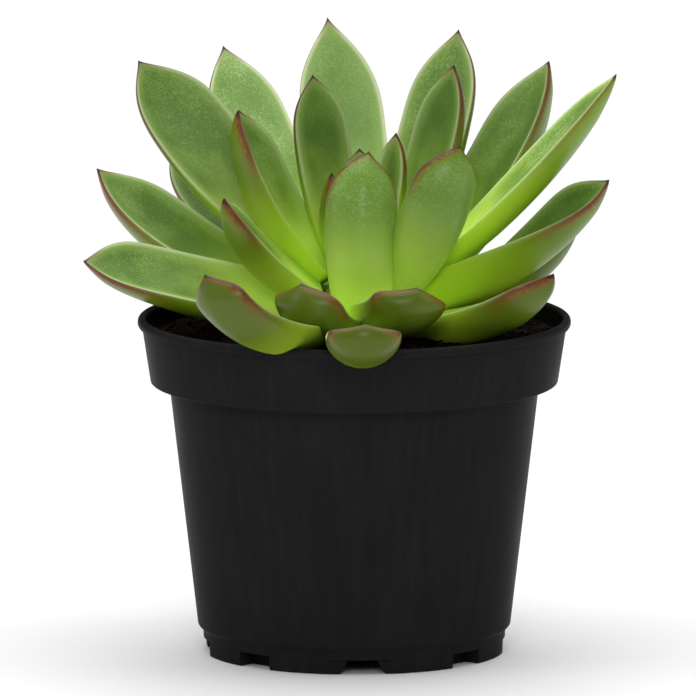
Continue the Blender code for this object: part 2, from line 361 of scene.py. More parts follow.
def new_group(name: str, inputs: dict[str, float | tuple], outputs: dict[str, str]) -> tuple:
    """Starts a node group.

    Args:
        name: the group's name.
        inputs: its inputs and their usual values, a number or a colour.
        outputs: its outputs by name, each "Color" or "Float".

    Returns:
        The group, its wiring, its input node and its output node.
    """
    group = bpy.data.node_groups.new(name, "ShaderNodeTree")
    for key, value in inputs.items():
        kind = "Color" if isinstance(value, tuple) else "Float"
        made = group.interface.new_socket(key, in_out="INPUT", socket_type=f"NodeSocket{kind}")
        made.default_value = (*value, 1.0) if kind == "Color" else value
    for key, kind in outputs.items():
        group.interface.new_socket(key, in_out="OUTPUT", socket_type=f"NodeSocket{kind}")
    start = group.nodes.new("NodeGroupInput")
    end = group.nodes.new("NodeGroupOutput")
    return group, Wiring(group), start, end


@dataclass(frozen=True)
class LeafTints:
    """The colours that every kind of leaf shares, in linear RGB."""

    # deep: dark green mottling, laid darkest away from the margin; the darker middle is partly
    # painted shade
    deep: tuple = (0.055, 0.135, 0.008)
    flesh: tuple = (0.34, 0.51, 0.13)
    # flesh: a lighter band along the upper face's margin, painted light where the rounded edge
    # turns to the light
    powder: tuple = (0.46, 0.62, 0.26)
    # cream: a pale margin band, partly the leaf's own pale rim and partly a painted highlight on
    # the rounded margin
    cream: tuple = (0.66, 0.74, 0.42)
    tip_face: tuple = (0.22, 0.07, 0.025)
    olive: tuple = (0.2, 0.3, 0.05)
    dust: tuple = (0.42, 0.6, 0.27)
    rust: tuple = (0.22, 0.075, 0.008)
    maroon: tuple = (0.11, 0.025, 0.006)
    tip_back: tuple = (0.17, 0.04, 0.008)
    edge_line: tuple = (0.12, 0.034, 0.014)
    spine: tuple = (0.035, 0.008, 0.005)


class LeafPaint:
    """Wires a leaf's colour, roughness and height from the marks that its mesh carries.

    along runs from the foot to the tip, inset is the distance to the margin and reach the
    distance to the tip, both in millimetres, and upper tells the two faces apart.
    """

    def __init__(self, wire: Wiring, start: bpy.types.Node) -> None:
        """Reads the marks and lays out the noises that both faces use.

        Args:
            wire: the wiring of the group.
            start: the group's input node.
        """
        self.wire, self.inputs, self.tints = wire, start.outputs, LeafTints()
        self.along, self.inset, self.reach = map(wire.mark, ("along", "inset", "reach"))
        self.speck = wire.noise(2300.0, 2.0, None, 0.7)
        self.mottle = wire.noise(850.0, 3.0, None, 0.7)
        self.patch = wire.noise(75.0, 3.0, None, 0.5)
        self.wide = wire.noise(45.0, 2.0)
        self.bloom = wire.product(wire.mark("bloom"), self.inputs["Bloom"])
        self.blush = wire.product(wire.mark("blush"), self.inputs["Blush"])
        # the margin counts in the distance to the tip, so that a dark tip has a round foot
        self.point = wire.math("MULTIPLY_ADD", self.inset, 1.3, self.reach)
        grains = wire.math("MULTIPLY_ADD", self.mottle, 0.35, self.speck)
        grains = wire.math("MULTIPLY_ADD", self.patch, 0.4, grains)
        powder = wire.product(wire.step(grains, 0.84, 1.06), 0.85)
        powder = wire.math("ADD", powder, wire.step(self.wide, 0.35, 0.7, 0.05, 0.3))
        self.powder = wire.product(powder, wire.step(self.along, 0.2, 0.75))

    def face(self) -> bpy.types.NodeSocket:
        """Wires the upper face: lime foot with a painted glow, green middle with painted shade,
        painted light by the margin, powder, cream margin partly painted highlight, red tip.

        Returns:
            Its colour.
        """
        wire, along, inset = self.wire, self.along, self.inset
        # the lime foot is the leaf's pale base, brightened as a painted glow of light shining
        # through it
        face = wire.blend(wire.step(along, 0.15, 0.74), self.inputs["Foot"], self.inputs["Face"])
        # painted shade: the dark mottling is weakest at the margin and strongest in the middle of
        # the face
        deep = wire.product(
            wire.step(self.patch, 0.68, 0.32, 0.3, 0.95),
            wire.step(inset, 0.6, 4.5, 0.1, 0.85),
            wire.step(along, 0.18, 0.6),
            self.inputs["Deep"],
        )
        face = wire.blend(deep, face, self.tints.deep)
        # painted light: a lighter band along the margin of the upper face
        flesh = wire.product(wire.step(inset, 4.5, 0.3), wire.step(along, 0.15, 0.5), 0.42)
        face = wire.blend(flesh, face, self.tints.flesh)
        face = wire.blend(wire.product(self.powder, self.bloom), face, self.tints.powder)
        # cream: partly the leaf's pale rim, partly a painted highlight where the rounded margin
        # catches the light
        cream = wire.product(wire.step(inset, 1.7, 0.35), wire.step(along, 0.2, 0.5))
        face = wire.blend(wire.product(cream, self.inputs["Cream"]), face, self.tints.cream)
        tip = wire.product(wire.step(self.reach, 7.0, 1.5), wire.step(inset, 2.0, 0.2))
        return wire.blend(wire.product(tip, self.blush, 0.7), face, self.tints.tip_face)

    def back(self) -> bpy.types.NodeSocket:
        """Wires the underside: lime foot with a painted glow, olive middle, a broken red band by
        the margin.

        Returns:
            Its colour.
        """
        wire, along = self.wire, self.along
        back = wire.step(along, 0.14, 0.74)
        # the lime underside foot: the pale base, brightened as a painted glow of light shining
        # through it
        back = wire.blend(back, self.inputs["Under Foot"], self.inputs["Under"])
        back = wire.blend(wire.step(self.wide, 0.3, 0.75, 0.0, 0.25), back, self.tints.olive)
        dust = wire.product(self.powder, self.inputs["Under Bloom"])
        back = wire.blend(dust, back, self.tints.dust)
        uneven = wire.math("ADD", self.patch, wire.product(self.mottle, 3.4))
        edge = wire.math("ADD", self.inset, uneven)
        red = wire.product(self.blush, self.inputs["Band"])
        band = wire.product(wire.step(edge, 4.1, 2.3), wire.step(along, 0.5, 0.9), red, 0.8)
        back = wire.blend(band, back, self.tints.rust)
        dark = wire.product(wire.step(edge, 3.0, 2.0), wire.step(along, 0.6, 1.0), red)
        back = wire.blend(dark, back, self.tints.maroon)
        blunt = wire.product(wire.step(self.point, 9.0, 2.0), self.blush, 0.35)
        return wire.blend(blunt, back, self.tints.tip_back)

    def finish(self, end: bpy.types.Node) -> None:
        """Joins the faces, adds the margin line and the dark spine, and fills the outputs.

        Args:
            end: the group's output node.
        """
        wire = self.wire
        upper = wire.step(wire.mark("upper"), -0.12, 0.2)
        colour = wire.blend(upper, self.back(), self.face())
        line = wire.product(
            wire.step(self.inset, 0.3, 0.08),
            wire.step(self.along, 0.62, 0.88),
            wire.step(self.blush, 0.0, 0.6, 0.2, 0.8),
        )
        colour = wire.blend(line, colour, self.tints.edge_line)
        spine = wire.step(self.point, 2.9, 1.0, 0.0, 0.95)
        colour = wire.blend(spine, colour, self.tints.spine)
        tone = wire.mark("tone")
        shade = wire.node("ShaderNodeCombineColor", Red=tone, Green=tone, Blue=tone)
        colour = wire.blend(1.0, colour, shade.outputs[0], "MULTIPLY")
        wire.put(end.inputs["Color"], colour)
        wire.put(end.inputs["Roughness"], wire.step(upper, 0.0, 1.0, 0.34, 0.5))
        height = wire.math("ADD", self.speck, wire.product(self.patch, 0.8))
        wire.put(end.inputs["Height"], height)


class Effects:
    """The node groups that more than one material uses, each made once."""

    def __init__(self) -> None:
        """Makes the groups."""
        self.grain = self._grain()
        self.leaf_paint = self._leaf_paint()

    def _grain(self) -> bpy.types.NodeTree:
        """Makes a fine uneven grain with larger clouds, as a mask and a height.

        Returns:
            The group.
        """
        inputs = {"Fine": 2500.0, "Clouds": 90.0, "Cloud Share": 0.5}
        outputs = {"Mask": "Float", "Height": "Float"}
        group, wire, start, end = new_group("grain", inputs, outputs)
        place = wire.node("ShaderNodeTexCoord").outputs["Object"]
        fine = wire.noise(1.0, 3.0, place, 0.62)
        clouds = wire.noise(1.0, 3.0, place, 0.55)
        wire.put(fine.node.inputs["Scale"], start.outputs["Fine"])
        wire.put(clouds.node.inputs["Scale"], start.outputs["Clouds"])
        rest = wire.math("SUBTRACT", 1.0, start.outputs["Cloud Share"])
        mask = wire.product(fine, rest)
        mask = wire.math("MULTIPLY_ADD", clouds, start.outputs["Cloud Share"], mask)
        wire.put(end.inputs["Mask"], mask)
        wire.put(end.inputs["Height"], fine)
        return group

    def _leaf_paint(self) -> bpy.types.NodeTree:
        """Makes the paint that every leaf wears.

        Returns:
            The group.
        """
        inputs = dict.fromkeys(("Bloom", "Under Bloom", "Blush", "Band", "Cream", "Deep"), 1.0)
        inputs |= dict.fromkeys(("Face", "Foot", "Under", "Under Foot"), (0.15, 0.27, 0.045))
        outputs = {"Color": "Color", "Roughness": "Float", "Height": "Float"}
        group, wire, start, end = new_group("leaf_paint", inputs, outputs)
        LeafPaint(wire, start).finish(end)
        return group

    def grain_in(
        self, wire: Wiring, fine: float = 2500.0, clouds: float = 90.0, share: float = 0.5
    ) -> bpy.types.Node:
        """Puts the grain into a material.

        Args:
            wire: the material's wiring.
            fine: grains per metre.
            clouds: clouds per metre.
            share: how much the clouds count in the mask.

        Returns:
            The group's node.
        """
        made = wire.node("ShaderNodeGroup", {"node_tree": self.grain})
        for key, value in (("Fine", fine), ("Clouds", clouds), ("Cloud Share", share)):
            wire.put(made.inputs[key], value)
        return made


@dataclass(frozen=True)
class Finish:
    """A finish, which makes one procedural material."""

    name: str

    def material(self, effects: Effects) -> bpy.types.Material:
        """Makes the material.

        Args:
            effects: the shared node groups.

        Returns:
            The material.
        """
        made = bpy.data.materials.new(self.name)
        made.use_nodes = True
        wire = Wiring(made.node_tree)
        shader = made.node_tree.nodes["Principled BSDF"]
        for name, value in self.looks(wire, effects).items():
            wire.put(shader.inputs[name], value)
        return made

    def looks(self, wire: Wiring, effects: Effects) -> dict[str, Signal]:
        """Wires what the shader reads, which each kind of finish does its own way.

        Args:
            wire: the material's wiring.
            effects: the shared node groups.

        Returns:
            The shader's inputs by name.
        """
        raise NotImplementedError


@dataclass(frozen=True)
class LeafSkin(Finish):
    """The finish of one kind of leaf. Colours are linear RGB."""

    face: tuple = (0.135, 0.265, 0.018)
    # the foot colours are the leaves' pale bases, brightened to paint in light shining through them
    foot: tuple = (0.58, 0.82, 0.1)
    under: tuple = (0.1, 0.18, 0.003)
    under_foot: tuple = (0.5, 0.76, 0.03)
    bloom: float = 0.34
    under_bloom: float = 0.0
    blush: float = 1.0
    band: float = 1.0
    # cream: how strong the pale margin band is, partly a painted highlight
    cream: float = 0.6
    # deep: how strong the darker mottled middle is, partly painted shade
    deep: float = 0.9
    sheen: float = 0.03
    slot: str = "outer_leaf"

    def looks(self, wire: Wiring, effects: Effects) -> dict[str, Signal]:
        """Wires the leaf paint with this skin's colours.

        Args:
            wire: the material's wiring.
            effects: the shared node groups.

        Returns:
            The shader's inputs by name.
        """
        paint = wire.node("ShaderNodeGroup", {"node_tree": effects.leaf_paint})
        for socket in paint.inputs:
            wire.put(socket, getattr(self, socket.name.lower().replace(" ", "_")))
        return {
            "Base Color": paint.outputs["Color"],
            "Roughness": paint.outputs["Roughness"],
            "Normal": wire.bump(paint.outputs["Height"], 0.25, 0.00012),
            "Subsurface Weight": 0.06,
            "Subsurface Radius": (0.55, 1.0, 0.2),
            "Subsurface Scale": 0.0012,
            "Specular IOR Level": 0.22,
            "Coat Weight": self.sheen,
            "Coat Roughness": 0.3,
        }


class Skin(Enum):
    """The kinds of leaf finish."""

    OUTER = LeafSkin("outer_leaf_skin")
    PALE = LeafSkin(
        "back_leaf_skin", face=(0.22, 0.39, 0.09), foot=(0.42, 0.66, 0.09), bloom=0.42, cream=1.0,
        deep=0.45,
    )
    # the bright under_foot of INNER and HEART paints in the glow of light through the inner leaves'
    # bases
    INNER = LeafSkin(
        "inner_leaf_skin", under_foot=(0.62, 0.9, 0.06), bloom=0.26, cream=0.4, slot="inner_leaf"
    )
    HEART = LeafSkin(
        "heart_leaf_skin", under=(0.115, 0.235, 0.012), under_foot=(0.66, 0.92, 0.13),
        under_bloom=0.3, band=0.75, sheen=0.0, slot="inner_leaf",
    )
    # the darker underside colour paints in the shade on the front leaves' bellies, which face down
    # and away from the top light
    FRONT = LeafSkin("front_leaf_skin", under=(0.075, 0.11, 0.002), sheen=0.08)
    BUD = LeafSkin("bud_leaf_skin", face=(0.17, 0.3, 0.03), bloom=0.2, slot="inner_leaf")


@dataclass(frozen=True)
class PotPlastic(Finish):
    """Black moulded plastic with faint streaks down its wall."""

    name: str = "black_pot_plastic"
    dark: tuple = (0.0125, 0.0125, 0.013)
    worn: tuple = (0.02, 0.02, 0.0206)
    streaks: float = 420.0
    stretch: float = 0.03

    def looks(self, wire: Wiring, effects: Effects) -> dict[str, Signal]:
        """Wires the plastic.

        Args:
            wire: the material's wiring.
            effects: the shared node groups.

        Returns:
            The shader's inputs by name.
        """
        place = wire.node("ShaderNodeTexCoord").outputs["Object"]
        drawn = wire.node("ShaderNodeMapping", Vector=place, Scale=(1.0, 1.0, self.stretch))
        streak = wire.noise(self.streaks, 3.0, drawn.outputs[0], 0.6)
        grain = effects.grain_in(wire, 3200.0, 60.0, 0.6)
        mask = grain.outputs["Mask"]
        share = wire.product(wire.step(streak, 0.35, 0.8), 0.4)
        share = wire.math("MULTIPLY_ADD", wire.step(mask, 0.45, 0.7), 0.4, share)
        height = wire.product(grain.outputs["Height"], 0.5)
        height = wire.math("MULTIPLY_ADD", streak, 0.8, height)
        rough = wire.step(mask, 0.3, 0.7, 0.3, 0.4)
        return {
            "Base Color": wire.blend(share, self.dark, self.worn),
            "Roughness": wire.math("MULTIPLY_ADD", streak, 0.12, rough),
            "Normal": wire.bump(height, 0.3, 0.00008),
            "Specular IOR Level": 0.008,
        }


@dataclass(frozen=True)
class PeatFinish(Finish):
    """Damp dark peat with reddish and pale specks."""

    dark: tuple = (0.0022, 0.0011, 0.0008)
    light: tuple = (0.016, 0.006, 0.0035)
    pale: tuple = (0.1, 0.045, 0.026)
    pale_share: float = 0.76

    def looks(self, wire: Wiring, effects: Effects) -> dict[str, Signal]:
        """Wires the peat.

        Args:
            wire: the material's wiring.
            effects: the shared node groups.

        Returns:
            The shader's inputs by name.
        """
        grain = effects.grain_in(wire, 900.0, 220.0, 0.45)
        mask = grain.outputs["Mask"]
        colour = wire.blend(wire.step(mask, 0.42, 0.68), self.dark, self.light)
        fleck = wire.noise(1400.0, 1.0)
        fleck = wire.step(fleck, self.pale_share - 0.06, self.pale_share + 0.02)
        return {
            "Base Color": wire.blend(fleck, colour, self.pale),
            "Roughness": wire.step(mask, 0.3, 0.7, 0.95, 0.6),
            "Normal": wire.bump(grain.outputs["Height"], 0.9, 0.0006),
            "Specular IOR Level": 0.03,
        }


@dataclass(frozen=True)
class SoftFinish(Finish):
    """A plain colour with soft clouds of a second one."""

    first: tuple
    second: tuple
    fine: float = 2500.0
    clouds: float = 90.0
    ends: tuple = (0.35, 0.65, 0.0, 1.0)
    roughness: float = 0.5
    specular: float = 0.5
    relief: float = 0.4

    def looks(self, wire: Wiring, effects: Effects) -> dict[str, Signal]:
        """Wires the colour and the grain.

        Args:
            wire: the material's wiring.
            effects: the shared node groups.

        Returns:
            The shader's inputs by name.
        """
        grain = effects.grain_in(wire, self.fine, self.clouds)
        share = wire.step(grain.outputs["Mask"], *self.ends)
        made = {
            "Base Color": wire.blend(share, self.first, self.second),
            "Roughness": self.roughness,
            "Specular IOR Level": self.specular,
        }
        if self.relief:
            made["Normal"] = wire.bump(grain.outputs["Height"], self.relief, 0.0002)
        return made


# the lime flesh of the short stem, which shows only between leaf feet
STEM_SKIN = SoftFinish("stem_skin", (0.34, 0.48, 0.06), (0.15, 0.2, 0.03), clouds=300.0)
# the plain pale sheet that the pot stands on
STUDIO_PAPER = SoftFinish(
    "studio_paper", (0.9, 0.9, 0.9), (0.8, 0.8, 0.8), fine=40.0, ends=(0.3, 0.7, 0.0, 0.02),
    roughness=0.9, specular=0.1, relief=0.0,
)


# ---- pot -------------------------------------------------------------------------------
@dataclass
class NurseryPot:
    """The moulded pot: floor, wall, collar, rolled lip, foot and drainage notches."""

    height: float = 0.0936
    rim_radius: float = 0.0600
    lip_height: float = 0.0026
    lip_overhang: float = 0.0012
    collar_height: float = 0.0182
    collar_taper: float = 0.0024
    collar_step: float = 0.0051
    body_taper: float = 0.0080
    base_height: float = 0.0076
    foot_step: float = 0.0014
    foot_height: float = 0.0062
    foot_draft: float = 0.0003
    foot_width: float = 0.0072
    wall: float = 0.0012
    floor_clear: float = 0.0048
    steps: int = 192
    lip_drop: float = 0.0006
    inner_ease: float = 0.0008
    outer_ease: float = 0.0005
    notch_count: int = 4
    notch_turn: float = 3.3
    notch_height: float = 0.0041
    notch_width: float = 0.0187
    notch_depth: float = 0.0015
    channel_width: float = 0.0140
    channel_top_width: float = 0.0076
    gap_width: float = 0.0108
    gap_depth: float = 0.0058
    drain_radius: float = 0.0030
    drain_inset: float = 0.0040
    cut_past: float = 0.0050

    @property
    def collar_foot(self) -> float:
        """Height of the collar's lower edge."""
        return self.height - self.collar_height

    def collar_radius(self, height: float) -> float:
        """Outside radius of the collar at a height."""
        share = (self.height - self.lip_height - height) / (self.collar_height - self.lip_height)
        return self.rim_radius - self.lip_overhang - self.collar_taper * share

    def body_radius(self, height: float) -> float:
        """Outside radius of the body at a height."""
        share = (self.collar_foot - height) / (self.collar_foot - self.base_height)
        return self.collar_radius(self.collar_foot) - self.collar_step - self.body_taper * share

    def inner_wall(self) -> list:
        """Lists the corners of the wall's inside from the floor to the lip.

        Returns:
            The (radius, height) pairs.
        """
        ledge = self.collar_foot + self.wall
        floor_top = self.floor_clear + self.wall
        under_lip = self.height - self.lip_height
        return [
            (self.body_radius(floor_top) - self.wall, floor_top),
            (self.body_radius(self.collar_foot) - self.wall, ledge),
            (self.collar_radius(ledge) - self.wall, ledge),
            (self.collar_radius(under_lip) - self.wall, under_lip),
        ]

    def profile(self) -> list:
        """Draws the whole wall, over the lip and down to the floor's underside.

        Returns:
            The (radius, height) pairs.
        """
        radius = (self.lip_overhang + self.wall) / 2
        middle, rise = self.rim_radius - radius, self.lip_height / 2
        turns = [pi - pi * step / 12 for step in range(13)]
        lip = [(middle + radius * cos(a), self.height - rise + rise * sin(a)) for a in turns]
        lip += [
            (self.rim_radius, self.height - self.lip_height * 0.75),
            (self.rim_radius - 0.0003, self.height - self.lip_height * 0.97),
            (self.rim_radius - self.lip_overhang, self.height - self.lip_height),
        ]
        foot_radius = self.body_radius(self.base_height) - self.foot_step
        inner_foot = foot_radius - self.foot_width
        below_lip = self.height - self.lip_height - self.lip_drop
        outside = [
            (self.collar_radius(below_lip), below_lip),
            (self.collar_radius(self.collar_foot), self.collar_foot),
            (self.body_radius(self.collar_foot), self.collar_foot),
            (self.body_radius(self.base_height), self.base_height),
            (foot_radius, self.foot_height),
            (foot_radius - self.foot_draft, 0.0),
            (inner_foot, 0.0),
            (inner_foot, self.floor_clear),
            (inner_foot * 0.5, self.floor_clear),
        ]
        inside = eased(self.inner_wall() + lip[:1], self.inner_ease)
        return inside[:-1] + lip + eased(outside, self.outer_ease)

    def wedge(self, reach: tuple, turn: float, low: float, high: float) -> bpy.types.Object:
        """Makes a cutter that lies along a radius and may be wider at its foot.

        Args:
            reach: its inner and outer radius.
            turn: its angle in degrees.
            low: its width at the foot.
            high: its width at the top.

        Returns:
            The cutter.
        """
        inner, outer = reach
        top, bottom = self.notch_height, -MM
        middle = ((inner + outer) / 2, 0, (top + bottom) / 2)
        cutter = add(bpy.ops.mesh.primitive_cube_add, size=1.0, location=middle)
        bpy.ops.object.mode_set(mode="EDIT")
        bpy.ops.transform.resize(value=(outer - inner, low, top - bottom))
        pick(cutter, lambda place: place.z > 0)
        bpy.ops.transform.resize(value=(1, high / low, 1))
        bpy.ops.object.mode_set(mode="OBJECT")
        take_up(cutter)
        bpy.ops.object.transform_apply(location=True, rotation=True, scale=True)
        cutter.rotation_euler.z = radians(turn)
        bpy.ops.object.transform_apply(location=True, rotation=True, scale=True)
        return cutter

    def cutters(self) -> list:
        """Makes the cutters for the notches, their channels, the gaps and the drain holes.

        Returns:
            The cutters.
        """
        foot = self.body_radius(self.base_height) - self.foot_step
        past, ring = foot + self.cut_past, foot - self.foot_width
        made = []
        for index in range(self.notch_count):
            turn = self.notch_turn - 90 + 360 / self.notch_count * index
            for start, angle, widths in (
                (foot - self.notch_depth, turn, (self.notch_width, self.notch_width)),
                (ring - MM, turn, (self.channel_width, self.channel_top_width)),
                (foot - self.gap_depth, turn + 180 / self.notch_count, (self.gap_width,) * 2),
            ):
                made.append(self.wedge((start, past), angle, *widths))
            reach, level = ring - self.drain_inset, self.floor_clear + self.wall / 2
            place = (reach * cos(radians(turn)), reach * sin(radians(turn)), level)
            hole = {"vertices": 32, "radius": self.drain_radius, "depth": 4 * self.wall}
            made.append(add(bpy.ops.mesh.primitive_cylinder_add, location=place, **hole))
        return made

    def build(self, effects: Effects) -> None:
        """Makes and dresses the pot.

        Args:
            effects: the shared node groups.
        """
        pot = settle(throw_ring(self.profile(), self.steps), "nursery_pot")
        cutters = self.cutters()
        for index, cutter in enumerate(cutters):
            cut = pot.modifiers.new(f"cut_{index}", "BOOLEAN")
            cut.operation, cut.object = "DIFFERENCE", cutter
        apply_modifiers(pot)
        for cutter in cutters:
            bpy.data.objects.remove(cutter)
        settle(pot, "nursery_pot", 32)
        pot.data.materials.append(PotPlastic().material(effects))
        mount(pot, "pot_plastic", "pot")


# ---- peat ------------------------------------------------------------------------------
# name, size and height of the peat's clods, each laid over the one before
CLODS = (("clump", 0.0085, 0.0026), ("clod", 0.0032, 0.0019), ("crumb", 0.0013, 0.0011))


@dataclass
class PeatFill:
    """The peat: a rough surface, a smooth body in the pot, and loose crumbs on top."""

    pot: NurseryPot
    gap: float = 0.0003
    drop: float = 0.0051
    crown: float = 0.0012
    stem_x: float = 0.0015
    stem_clear: float = 0.013
    stem_fade: float = 0.004
    wall_fade: float = 0.002
    inmost: float = 0.22
    outmost: float = 0.98
    rings: int = 62
    steps: int = 240
    crumb_count: int = 1500
    fibre_count: int = 240
    seed: int = 11

    @property
    def wall(self) -> float:
        """Radius of the peat at its surface."""
        return self.pot.collar_radius(self.pot.height - self.drop) - self.pot.wall - self.gap

    def level(self, radius: float) -> float:
        """Mean height of the surface at a radius."""
        return self.pot.height - self.drop + self.crown * (1 - (radius / self.wall) ** 2)

    def surface(self) -> bpy.types.Object:
        """Makes the peat's body with a clodded top.

        Returns:
            The body.
        """
        radii = [self.wall * step / self.rings for step in range(1, self.rings + 1)]
        top = [(radius, self.level(radius)) for radius in radii]
        corners = reversed(self.pot.inner_wall()[:3])
        below = [(radius - self.gap, height + self.gap) for radius, height in corners]
        peat = settle(throw_ring(top + below, self.steps), "peat", 80)
        clods = peat.vertex_groups.new(name="clods")
        for vert in peat.data.vertices:
            if vert.co.z > self.level(self.wall) - MM * 0.2:
                # flat at the stem, and all but flat at the wall
                from_stem = Vector((vert.co.x - self.stem_x, vert.co.y)).length
                off_stem = min(1.0, max(0.0, (from_stem - self.stem_clear) / self.stem_fade))
                off_wall = min(1.0, (self.wall - vert.co.xy.length) / self.wall_fade + 0.15)
                clods.add([vert.index], off_wall * off_stem, "REPLACE")
        for name, size, strength in CLODS:
            clouds = bpy.data.textures.new(name, "CLOUDS")
            clouds.noise_scale, clouds.noise_depth = size, 2
            lift = peat.modifiers.new(name, "DISPLACE")
            lift.texture, lift.strength, lift.mid_level = clouds, strength, 0.5
            lift.direction, lift.vertex_group, lift.texture_coords = "Z", "clods", "LOCAL"
        apply_modifiers(peat)
        peat.vertex_groups.clear()
        return peat

    def crumb(self) -> bpy.types.Mesh:
        """Makes one crumb: a small ball with its sides knocked in.

        Returns:
            Its mesh.
        """
        made = add(bpy.ops.mesh.primitive_ico_sphere_add, subdivisions=1, radius=1.0)
        bpy.ops.object.mode_set(mode="EDIT")
        bpy.ops.transform.resize(value=(1.0, 0.74, 0.62))
        pick(made, lambda place: place.x > 0.4 and place.y > 0)
        bpy.ops.transform.translate(value=(-0.25, -0.2, 0.12))
        pick(made, lambda place: place.x < -0.5)
        bpy.ops.transform.resize(value=(1.0, 0.6, 1.25))
        return self._lift_mesh(made)

    def fibre(self) -> bpy.types.Mesh:
        """Makes one fibre: a thin tapered shaving with a bend in it.

        Returns:
            Its mesh.
        """
        made = add(bpy.ops.mesh.primitive_cylinder_add, vertices=4, radius=0.09, depth=0.8)
        bpy.ops.object.mode_set(mode="EDIT")
        for shift in ((0.22, 0.05, 0.6), (0.3, -0.12, 0.5)):
            top = max(vert.co.z for vert in bmesh.from_edit_mesh(made.data).verts)
            pick(made, lambda place: place.z > top - 0.01)
            bpy.ops.mesh.extrude_region_move(TRANSFORM_OT_translate={"value": shift})
            bpy.ops.transform.resize(value=(0.7, 0.7, 0.7))
        return self._lift_mesh(made)

    @staticmethod
    def _lift_mesh(obj: bpy.types.Object) -> bpy.types.Mesh:
        """Leaves edit mode and takes the object away.

        Args:
            obj: the object being edited.

        Returns:
            Its mesh, in triangles.
        """
        bpy.ops.mesh.select_all(action="SELECT")
        bpy.ops.mesh.normals_make_consistent(inside=False)
        bpy.ops.mesh.quads_convert_to_tris()
        bpy.ops.object.mode_set(mode="OBJECT")
        mesh = obj.data
        bpy.data.objects.remove(obj)
        return mesh

    def scatter(self, peat: bpy.types.Object) -> bpy.types.Object:
        """Strews crumbs and fibres over the surface as one piece.

        Args:
            peat: the surface that they lie on.

        Returns:
            The loose pieces, joined.
        """
        chance = np.random.RandomState(self.seed)
        points, faces, start = [], [], 0
        for source, count, low, high in (
            (self.crumb(), self.crumb_count, 0.25, 0.95),
            (self.fibre(), self.fibre_count, 0.5, 1.5),
        ):
            shape = np.array([vert.co for vert in source.vertices])
            corners = np.array([list(face.vertices) for face in source.polygons])
            for _ in range(count):
                reach = self.outmost - self.inmost
                radius = self.wall * (self.inmost + reach * chance.rand() ** 0.6)
                turn = 2 * pi * chance.rand()
                size = (low + (high - low) * chance.rand() ** 2.5) * MM
                spin = Quaternion(chance.normal(size=4)).normalized().to_matrix()
                x, y = radius * cos(turn), radius * sin(turn)
                above = Vector((x, y, 2 * self.pot.height))
                hit, place, _, _ = peat.ray_cast(above, Vector((0, 0, -1)))
                height = place.z if hit else self.level(radius)
                centre = np.array([x, y, height + 0.25 * size])
                points.append((shape * size) @ np.array(spin).T + centre)
                faces.append(corners + start)
                start += len(shape)
        mesh = bpy.data.meshes.new("peat_crumbs")
        mesh.from_pydata(np.vstack(points).tolist(), [], np.vstack(faces).tolist())
        loose = bpy.data.objects.new("peat_crumbs", mesh)
        bpy.context.scene.collection.objects.link(loose)
        return settle(loose, "peat_crumbs", 25)

    def build(self, effects: Effects) -> None:
        """Makes and dresses the peat and its crumbs.

        Args:
            effects: the shared node groups.
        """
        peat = settle(self.surface(), "peat", 60)
        loose = self.scatter(peat)
        peat.data.materials.append(PeatFinish("damp_peat").material(effects))
        lighter = PeatFinish("peat_crumb", light=(0.034, 0.011, 0.006), pale_share=0.68)
        loose.data.materials.append(lighter.material(effects))
        mount(peat, "soil", "soil")
        mount(loose, "soil")


# ---- leaves ----------------------------------------------------------------------------
@dataclass(frozen=True)
class Leaf:
    """One leaf. Lengths in millimetres, angles in degrees.

    tip is (x, y, height above the rim), foot the height on the stem above the plant's
    level. bow pulls the leaf's middle down and out, turn says how far along it bends, sway
    pushes its middle sideways, droop lets it hang before the tip, roll turns its faces and
    twist turns them more towards the tip. waist keeps the inner half narrow and keel
    sharpens the underside. path, if given, holds the two points that steer the middle line
    instead. tone, bloom and blush are how light, powdery and red it is.
    """

    name: str
    tip: tuple
    width: float
    foot: float
    bow: float = 6.0
    turn: float = 0.5
    sway: float = 0.0
    droop: float = 0.0
    roll: float = 0.0
    twist: float = 0.0
    thick: float = 5.0
    cup: float = 0.25
    base: float = 0.55
    end: float = 3.6
    waist: float = 1.0
    keel: float = 0.45
    path: tuple = ()
    skin: Skin = Skin.OUTER
    tone: float = 1.0
    bloom: float = 1.0
    blush: float = 1.0


